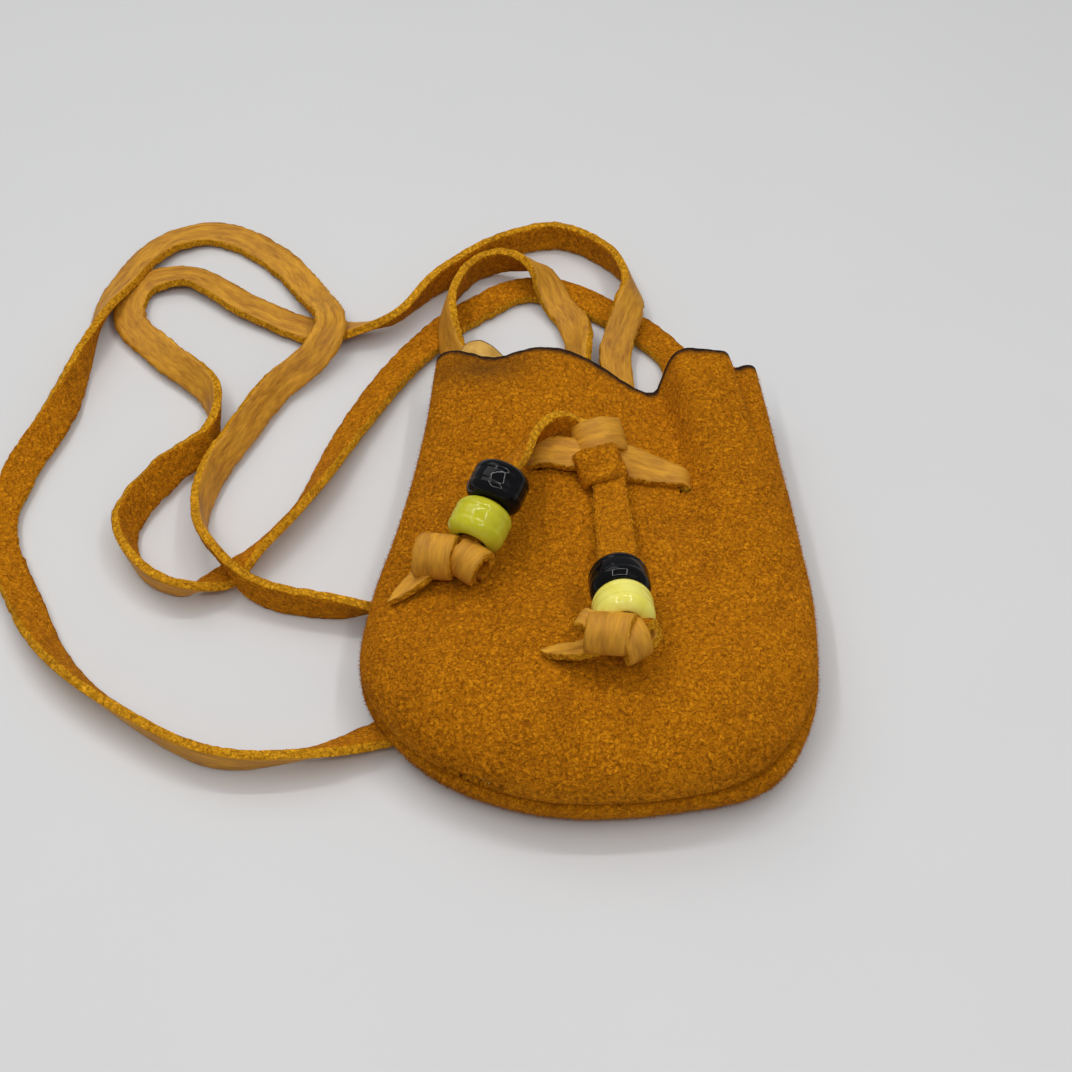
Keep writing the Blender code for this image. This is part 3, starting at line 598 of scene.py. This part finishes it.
def napFibres(name, base, seed):
    # the raised fibres of the brushed side, one slim spike by each place of the panel's mesh
    draw = np.random.default_rng(seed)
    shape = bmesh.new()
    burn = base.data.attributes["burn"].data
    for vert in base.data.vertices:
        lean = Vector(draw.uniform(-1, 1, 3)) * nap["lean"]
        length = draw.uniform(*nap["length"])
        shift = Vector(draw.uniform(-1, 1, 3)) * nap["jitter"]
        root = vert.co + vert.normal * leather * nap["sunk"] + shift - vert.normal * shift.dot(vert.normal)
        # no fibres on the burnt edge, nor in the middle of the painted shade in the hollow
        if root.z < nap["lowest"] or burn[vert.index].value > nap["noFibresAbove"]:
            continue
        way = (vert.normal + lean).normalized()
        side = way.orthogonal().normalized() * nap["root"]
        other = way.cross(side)
        ring = [shape.verts.new(root + side * a + other * b) for a, b in nap["ring"]]
        tip = shape.verts.new(root + way * length)
        shape.faces.new((ring[2], ring[1], ring[0]))
        for k in range(3):
            shape.faces.new((ring[k], ring[(k + 1) % 3], tip))
    return addPiece(name, meshFrom(shape, name, False), [suedeNap])


frontPanel = panel("frontPanelSuede", frontHeight, frontMouth, 1, 0, [suedeNap, suedeSmooth, burntEdge],
                   slits["front"])
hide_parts("front_panel")
backPanel = panel("backPanelSuede", backHeight, backMouth, -1, pouch["backLip"],
                  [suedeNap, suedeSmooth, burntEdge], slits["back"])
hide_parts("back_panel")
frontFibres = napFibres("frontNapFibres", frontPanel, 101)
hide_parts("front_panel")
backFibres = napFibres("backNapFibres", backPanel, 103)
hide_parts("back_panel")
print("pouch panels made")


# Seam thread: short stitches in the groove between the two turned-in rims

thread = {"pitch": 2.6 * mm, "radius": 0.2 * mm, "half": 0.95 * mm, "inset": 0.45 * mm, "sides": 8,
          "lean": 0.35, "ends": (0.004, 0.996)}


def makeSeamThread():
    paint = Paint("waxedThread", Roughness=0.6, Specular_IOR_Level=0.3)
    twist = paint.noise(3000, 2, 0.5, 1.0)
    paint.feed("Base Color", paint.mix(twist, rgb(0.10, 0.045, 0.010), rgb(0.26, 0.13, 0.035)))
    paint.bump(twist, 0.08 * mm, 0.7)
    shape = bmesh.new()
    count = int(lineLength(seam) / thread["pitch"])
    reach = np.linspace(*thread["ends"], count) * lineLength(seam)
    spots = np.stack([np.interp(reach, reachAlong(seam), seam[:, k]) for k in range(2)], 1)
    _, found, out = seamFrame(spots)
    for spot, way in zip(found - out * thread["inset"], out):
        lean = Matrix.Rotation(thread["lean"], 4, Vector((*way, 0)))
        place = Matrix.Translation((*spot, float(seamLevel(spot[1])))) @ lean
        bmesh.ops.create_cone(shape, cap_ends=True, segments=thread["sides"], radius1=thread["radius"],
                              radius2=thread["radius"], depth=2 * thread["half"], matrix=place)
    addPiece("seamThread", meshFrom(shape, "seamThread"), [paint.material])


makeSeamThread()
print("seam thread made")


# Laces: flat strips of the same suede, smooth on one side, brushed on the other, ragged where they were cut

lace = {"width": 5.0 * mm, "thickness": 1.5 * mm, "across": 9, "ragged": 0.24 * mm, "pile": 0.07 * mm,
        "raggedSteps": (0.45 * mm, 1.3 * mm), "pileStep": 0.6 * mm}
laceMaterials = [laceSmooth, laceNap, laceEdge]


def laceSection():
    # places round the section: smooth side, edge, brushed side, other edge
    over = np.linspace(-1, 1, lace["across"] + 1)
    side = np.stack([over / 2 * lace["width"], (1 - 0.16 * over**6) / 2 * lace["thickness"]], 1)
    edge = np.array([(0.508, 0.30), (0.515, 0.0), (0.508, -0.30)]) * (lace["width"], lace["thickness"])
    return np.vstack([side, edge, -side, -edge])


def ribbon(name, line, sides, seed, widths=1.0, thickness=1.0, cup=0.0, finishes=laceMaterials):
    # a lace along the line, its width turned to the given sides; flow keeps each place along and across it
    rows = len(line)
    way = unit(np.gradient(line, axis=0))
    sides = unit(sides - way * (sides * way).sum(1)[:, None])
    faces = np.cross(way, sides)
    reach = reachAlong(line)
    section = laceSection()
    around, across = len(section), lace["across"]
    spots = np.arange(around)
    onNap = (spots >= across + 3) & (spots <= 2 * across + 4)
    widths = np.broadcast_to(widths, rows)
    over = section[None, :, 0] * widths[:, None]
    up = np.broadcast_to(section[None, :, 1] * thickness, over.shape).copy()
    share = np.abs(section[:, 0]) / lace["width"] * 2
    rag = np.zeros((rows, 2))
    for k in range(2):
        fine, coarse = lace["raggedSteps"]
        rag[:, k] = wander(reach, fine, seed + k) * 0.5 + wander(reach, coarse, seed + 7 + k) * 0.5
    rightHand = section[:, 0] > 0
    rag = np.where(rightHand[None, :], rag[:, :1], rag[:, 1:])
    over = over + rag * lace["ragged"] * smoothStep((share - 0.75) * 4)[None, :] * np.sign(section[:, 0])
    pile = np.stack([wander(reach, lace["pileStep"], seed + 20 + k) for k in range(around)], 1)
    up -= pile * lace["pile"] * onNap[None, :]
    up += cup * (over / lace["width"] * 2) ** 2
    places = line[:, None, :] + sides[:, None, :] * over[..., None] + faces[:, None, :] * up[..., None]
    shape = bmesh.new()
    flow = shape.verts.layers.float_vector.new("flow")
    bmesh.ops.create_grid(shape, x_segments=rows - 1, y_segments=around, size=0.5)
    for face in shape.faces:
        spot = (face.calc_center_median().y + 0.5) * around
        face.material_index = 0 if spot < across else 1 if across + 4 < spot < 2 * across + 4 else 2
    for vert in shape.verts:
        row = round((vert.co.x + 0.5) * (rows - 1))
        spot = round((vert.co.y + 0.5) * around) % around
        vert.co = places[row, spot]
        vert[flow] = (reach[row], over[row, spot], up[row, spot])
    bmesh.ops.remove_doubles(shape, verts=shape.verts, dist=1e-7)
    bmesh.ops.holes_fill(shape, edges=[e for e in shape.edges if e.is_boundary])
    bmesh.ops.recalc_face_normals(shape, faces=shape.faces)
    return addPiece(name, meshFrom(shape, name), finishes)


neckLace = {
    "rows": 1250, "length": 0.82, "bend": 2 * mm, "lift": 0.25 * mm, "smoothing": 15, "pathStep": 6,
    "insideLeft": [(-14.6, 26.5, 7.4), (-15.4, 31.2, 7.0)],  # the ends lie inside the pouch
    "insideRight": [(6.4, 30.6, 5.4), (6.6, 26.0, 5.5)],
    # turn of the lace about its own line, by the number of the route's point: 0 smooth side up, 180 down
    "rolls": [
        (-2, 0), (0, 0), (1, -18), (2, -58), (3, -74), (4, -84), (5, -82), (5.8, -50), (6.5, -12), (7.2, 0),
        (8, 14), (9, 55), (10, 15), (11, 0), (12, 0), (13, 8), (14, 38), (14.6, 80), (15, 86), (16, 90),
        (17, 70), (18, 84), (19, 62), (20, 56), (21, 50), (22, 40), (23, 12), (24, 5), (25, 0), (26, 0),
        (27, 10), (28, 24), (29, 84), (30, 130), (31, 160), (32, 168), (33, 158), (34, 126), (35, 108),
        (36, 100), (37, 122), (38, 160), (39, 177), (40, 180), (50, 180), (51, 186), (52, 192), (53, 208),
        (54, 238), (54.8, 232), (55.4, 190), (56, 244), (57, 262), (58, 240), (59, 228), (60, 262),
        (61, 300), (62, 335), (63, 354), (64, 356), (65, 344), (66, 350), (67, 358), (68, 306), (69, 275),
        (70, 268), (71, 270), (72, 275), (73, 292), (74, 328), (75, 348), (76, 360), (80, 360),
    ],
}


def neckLacePlaces():
    # the lace's middle line and the side that its width is turned to
    route = neckLace["insideLeft"] + neckRoute + neckLace["insideRight"]
    number = np.arange(len(route))[:, None] - len(neckLace["insideLeft"])
    data = smoothCurve(np.hstack([np.array(route) * mm, number]), neckLace["rows"], neckLace["bend"])
    turn = np.interp(data[:, 3], *np.array(neckLace["rolls"]).T)
    window = np.exp(-np.linspace(-2, 2, neckLace["smoothing"]) ** 2)
    turn = np.convolve(np.pad(turn, neckLace["smoothing"] // 2, "edge"), window / window.sum(), "valid")
    roll = np.radians(turn)
    way = unit(np.gradient(data[:, :3], axis=0))
    left = unit(np.cross((0, 0, 1), way))
    sides = np.cos(roll)[:, None] * left + np.sin(roll)[:, None] * np.cross(way, left)
    half = (np.abs(np.sin(roll)) * lace["width"] + np.abs(np.cos(roll)) * lace["thickness"]) / 2
    line = data[:, :3].copy()
    line[:, 2] = half + data[:, 2] - neckRadius + neckLace["lift"]
    return line, sides


def makeNeckLace():
    line, sides = neckLacePlaces()
    piece = ribbon("neckLaceSuede", line, sides, 11)
    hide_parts("neck_cord")
    print("neck lace", round(lineLength(line), 4), "m")


makeNeckLace()


# The drawstring: straps over the mouth, the main knot, two tie ends and their knots
# each row is x, y and the rise over the leather's middle in millimetres, the width's direction, its share

drawstring = {
    "leftStrap": [
        (-5.4, 15.9, -2.6, 0, 1, 0.1, 0.92), (-7.2, 16.2, -1.9, 0, 1, 0.1, 0.94),
        (-8.0, 16.3, 0.3, 0, 1, 0.1, 0.96), (-7.2, 16.1, 1.7, 0.03, 1, 0.12, 1.0),
        (-5.2, 15.9, 1.9, 0.06, 1, 0.12, 1.0), (-2.6, 15.4, 2.3, 0.08, 1, 0.14, 1.0),
        (0.4, 14.7, 2.7, 0.1, 1, 0.15, 0.95), (2.4, 14.4, 2.6, 0.1, 1, 0.15, 0.9)],
    "rightStrap": [
        (11.6, 13.6, -2.4, 0, 1, 0.1, 0.6), (13.6, 13.6, -1.9, 0, 1, 0.1, 0.6),
        (14.5, 13.6, 0.0, 0, 1, 0.1, 0.58), (13.5, 13.7, 1.3, -0.04, 1, 0.12, 0.62),
        (11.2, 14.1, 1.5, -0.08, 1, 0.16, 0.8), (8.4, 14.6, 1.8, -0.1, 1, 0.18, 1.02),
        (5.2, 14.8, 2.3, -0.1, 1, 0.18, 1.16), (2.6, 14.4, 2.5, -0.1, 1, 0.15, 1.0)],
    "leftTie": [
        (2.4, 15.6, 1.7, 0.2, 0.5, 1, 0.7), (0.6, 17.8, 2.0, 0.2, 0.4, 1, 0.8),
        (-1.4, 19.5, 2.8, 0.1, 0.25, 1, 0.95), (-4.6, 19.4, 3.7, 0.1, 0.1, 1, 1.0),
        (-7.5, 17.2, 4.2, 0.4, 0.0, 1, 1.0), (-9.2, 14.0, 5.0, 0.7, 0.0, 1, 0.95),
        (-10.1, 10.6, 6.2, 0.9, -0.1, 0.8, 0.85), (-10.8, 7.6, 7.9, 1, -0.2, 0.5, 0.68),
        (-11.6, 5.3, 8.8, 1, -0.3, 0.3, 0.6), (-12.8, 2.8, 8.1, 1, -0.3, 0.2, 0.6),
        (-14.0, 0.2, 7.3, 1, -0.3, 0.2, 0.6), (-15.2, -2.5, 6.4, 1, -0.3, 0.2, 0.6),
        (-16.4, -5.1, 5.5, 1, -0.3, 0.1, 0.6), (-17.4, -6.8, 4.8, 1, -0.3, 0.1, 0.6)],
    "rightTie": [
        (2.4, 15.4, 2.2, 1, 0, 0, 0.9), (2.6, 12.6, 2.6, 1, 0.05, 0.05, 0.95),
        (2.9, 9.4, 2.4, 1, 0.05, 0.1, 0.92), (3.1, 5.8, 2.3, 1, 0, 0.14, 0.98),
        (3.3, 2.0, 2.5, 1, 0, 0.12, 1.02), (3.5, -2.2, 2.9, 1, 0, 0.08, 1.04),
        (3.6, -5.6, 3.6, 1, 0, 0, 1.02), (3.5, -8.4, 4.6, 1, 0, 0, 0.8), (3.45, -10.8, 5.35, 1, 0, 0, 0.6),
        (3.6, -13.4, 5.7, 1, 0, 0, 0.6), (3.9, -19.3, 6.3, 1, 0, 0, 0.6), (4.0, -22.4, 6.6, 1, 0, 0, 0.6),
        (4.0, -24.2, 6.4, 1, 0, 0, 0.6)],
    "leftTail": [
        (-20.4, -6.4, 3.8, 0.5, -0.8, 0.5, 0.86), (-22.2, -7.2, 2.7, 0.55, -0.8, 0.4, 0.8),
        (-23.8, -8.6, 2.1, 0.62, -0.7, 0.32, 0.64), (-25.4, -10.0, 1.8, 0.68, -0.6, 0.25, 0.42),
        (-27.4, -11.5, 1.4, 0.7, -0.6, 0.2, 0.06)],
    "rightTail": [
        (1.8, -24.2, 5.2, 0.25, -0.9, 0.5, 0.66), (-0.3, -24.0, 4.2, 0.2, -0.9, 0.5, 0.72),
        (-2.5, -23.5, 3.0, 0.12, -0.9, 0.42, 0.6), (-4.6, -22.9, 2.1, 0.05, -0.95, 0.32, 0.4),
        (-6.7, -22.5, 1.4, 0.05, -0.97, 0.2, 0.06)],
}


def laceOver(name, rows, seed, cup=0.0, thickness=1.0, flip=1, finishes=laceMaterials):
    # a lace through given places over the front leather
    control = np.array(drawstring[name], float)
    data = smoothCurve(np.hstack([control[:, :2] * mm, np.zeros((len(control), 1)), control[:, 2:]]), rows)
    line = data[:, :3].copy()
    line[:, 2] = frontHeight(line[:, :2]) + data[:, 3] * mm
    return ribbon(name + "Lace", line, data[:, 4:7] * flip, seed, data[:, 7], thickness, cup, finishes)


# one turn of lace for each lobe: middle in millimetres (the main knot's over the leather), axis, radius,
# width share, flattening, drift along the axis, seed, then where it begins and how far it goes round
knots = {
    "mainKnotWrap": {"centre": (1.8, 12.8, 2.7), "axis": (-0.34, 0.84, 0.42), "radius": 2.75, "width": 1.04,
                     "flat": (1.0, 0.74), "drift": 0.5, "seed": 61, "nap": True, "onKnot": True},
    "mainKnotLobe": {"centre": (1.7, 18.3, 2.7), "axis": (-0.22, 0.88, 0.36), "radius": 3.0, "width": 0.98,
                     "flat": (1.05, 0.74), "drift": 0.4, "seed": 67, "onKnot": True},
    "leftKnotBig": {"centre": (-20.8, -6.2, 15.0), "axis": (0.95, -0.2, 0.12), "radius": 2.35, "width": 1.06,
                    "flat": (1.0, 1.1), "drift": 0.7, "seed": 71},
    "leftKnotSmall": {"centre": (-16.4, -7.4, 15.2), "axis": (0.8, -0.58, -0.1), "radius": 2.0, "width": 0.84,
                      "flat": (1.0, 1.1), "drift": 0.4, "seed": 73},
    "rightKnotBig": {"centre": (2.2, -23.5, 19.7), "axis": (0.98, -0.16, 0.1), "radius": 2.0, "width": 1.14,
                     "flat": (1.0, 1.1), "drift": 0.9, "seed": 79},
    "rightKnotSmall": {"centre": (5.0, -24.0, 18.9), "axis": (0.84, 0.5, 0.12), "radius": 1.9, "width": 0.7,
                       "flat": (1.0, 1.1), "drift": 0.6, "seed": 83},
    "rightKnotEar": {"centre": (-0.8, -22.2, 20.4), "axis": (0.5, 0.8, 0.2), "radius": 0.8, "width": 0.5,
                     "seed": 89, "start": 0, "turns": 0.8, "rows": 30},
    "rightKnotCurl": {"centre": (6.7, -23.4, 19.5), "axis": (0.8, -0.4, 0.42), "radius": 1.3, "width": 0.45,
                      "seed": 97, "start": -60, "turns": 1.05, "rows": 40, "nap": True},
}
cores = {  # middle and half sizes in millimetres, and the seed of the lumps
    "mainKnotCore": ((1.9, 14.6, 2.4), (2.1, 3.6, 1.5), 1),
    "leftKnotCore": ((-18.8, -6.7, 14.9), (4.1, 2.1, 2.1), 2),
    "rightKnotCore": ((3.2, -23.8, 19.2), (3.4, 1.9, 2.0), 3),
}
knotFoot = (1.9, 12.8)  # where the main knot's height over the leather is taken


def wrap(name, centre, axis, radius, width, seed, flat=(1.0, 1.0), drift=0.0, start=-90, turns=1.0, rows=60,
         nap=False):
    # one turn of lace round an axis, its width along it, like one lobe of a tied knot
    axis = Vector(axis).normalized()
    out = axis.cross(Vector((0, 0, 1))).normalized()
    up = out.cross(axis).normalized()
    angle = np.radians(start) + np.linspace(0, 2 * np.pi * turns, rows)
    axis, out, up = (np.array(v) for v in (axis, out, up))
    round_ = np.cos(angle)[:, None] * out * flat[0] + np.sin(angle)[:, None] * up * flat[1]
    line = np.array(centre) * mm + round_ * radius * mm
    line += axis * np.linspace(-drift, drift, rows)[:, None] * mm
    ends = smoothStep(np.minimum(np.linspace(0, 1, rows), np.linspace(1, 0, rows)) * 6) * 0.25 + 0.75
    sides = np.broadcast_to(axis * (1 if nap else -1), line.shape)
    return ribbon(name, line, sides, seed, width * ends)


def knotCore(name, centre, size, seed):
    # the bunched lace inside a knot, seen only between its turns
    shape = bmesh.new()
    flow = shape.verts.layers.float_vector.new("flow")
    bmesh.ops.create_icosphere(shape, subdivisions=4, radius=1)
    for vert in shape.verts:
        lumps = 1 + 0.1 * noise.noise(vert.co * 2.2 + Vector((seed, 0, 0)))
        vert.co = Vector([centre[k] + vert.co[k] * size[k] * lumps for k in range(3)]) * mm
        vert[flow] = vert.co
    return addPiece(name, meshFrom(shape, name), [laceNap])


def makeDrawstring():
    top = float(frontHeight(np.array([knotFoot]) * mm)[0]) / mm
    pieces = [
        laceOver("leftStrap", 90, 31, 0.25 * mm), laceOver("rightStrap", 90, 37, 0.2 * mm, flip=-1),
        laceOver("leftTie", 170, 41, flip=-1, finishes=[laceNap, laceNap, laceEdge]),
        laceOver("rightTie", 150, 43, 0.15 * mm, flip=-1),
        laceOver("leftTail", 60, 47, 0.2 * mm, 0.8), laceOver("rightTail", 60, 53, 0.2 * mm, 0.8),
    ]
    for name, knot in knots.items():
        shape = dict(knot)
        x, y, z = shape.pop("centre")
        lift = top if shape.pop("onKnot", False) else 0
        pieces.append(wrap(name, (x, y, z + lift), **shape))
    for name, ((x, y, z), size, seed) in cores.items():
        lift = top if name == "mainKnotCore" else 0
        pieces.append(knotCore(name, (x, y, z + lift), size, seed))
    for piece in pieces:
        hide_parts("drawstring")


makeDrawstring()
print("drawstring made")


# Beads: turned glass barrels with soft shoulders

bead = {"diameter": 8.2 * mm, "length": 5.8 * mm, "hole": 4.0 * mm, "shoulder": 1.75 * mm, "belly": 0.12 * mm,
        "steps": 96, "lead": 0.35 * mm, "shoulderRows": 13, "sideRows": 13}
beadLooks = {  # material, slot and body
    "left_lime_bead": (limeGlass, "lime_bead", "left_lime"),
    "left_black_bead": (blackGlass, "black_bead", "left_black"),
    "right_lime_bead": (paleLimeGlass, "pale_lime_bead", "right_lime"),
    "right_black_bead": (blackGlass, "black_bead", "right_black"),
}


def makeBead(node, axis, finish, body):
    # a spun profile: rounded shoulders, a slightly swollen belly and a lead into the hole
    low, high = (np.array(corner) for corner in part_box(node))
    centre = Vector((low + high) / 2)
    half, outer, hole = bead["length"] / 2, bead["diameter"] / 2, bead["hole"] / 2
    round_ = bead["shoulder"]
    profile = []
    for k in range(bead["shoulderRows"] + 1):
        angle = math.pi / 2 * k / bead["shoulderRows"]
        profile.append((outer - round_ * (1 - math.cos(angle)), half - round_ * (1 - math.sin(angle))))
    profile = [(r, z) for r, z in reversed(profile)]
    side = [(outer + bead["belly"] * (1 - (z / (half - round_)) ** 2) - bead["belly"], z)
            for z in np.linspace(half - round_, -(half - round_), bead["sideRows"])[1:-1]]
    lead = bead["lead"]
    bore = [(hole + lead, half), (hole + lead * 0.3, half - lead * 0.3), (hole, half - lead)]
    line = bore[::-1] + profile + side + [(r, -z) for r, z in reversed(profile)] + [(r, -z) for r, z in bore]
    shape = bmesh.new()
    rim = [shape.verts.new((r, 0, z)) for r, z in line]
    edges = [shape.edges.new(pair) for pair in zip(rim, rim[1:] + rim[:1])]
    bmesh.ops.spin(shape, geom=rim + edges, cent=(0, 0, 0), axis=(0, 0, 1), angle=2 * math.pi,
                   steps=bead["steps"], use_merge=True)
    bmesh.ops.remove_doubles(shape, verts=shape.verts, dist=1e-6)
    bmesh.ops.recalc_face_normals(shape, faces=shape.faces)
    turn = Vector(axis).to_track_quat("Z", "Y").to_matrix().to_4x4()
    turn.translation = centre
    bmesh.ops.transform(shape, matrix=turn, verts=shape.verts)
    piece = addPiece(node.replace("_bead", "Barrel"), meshFrom(shape, node), [finish], body)
    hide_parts(node)


joints = {joint["child"]: joint for joint in frame["record"]["behaviour"]["joints"]}
for node, (finish, slot, body) in beadLooks.items():
    makeBead(node, joints[body]["axis"], finish, body)
print("beads made")
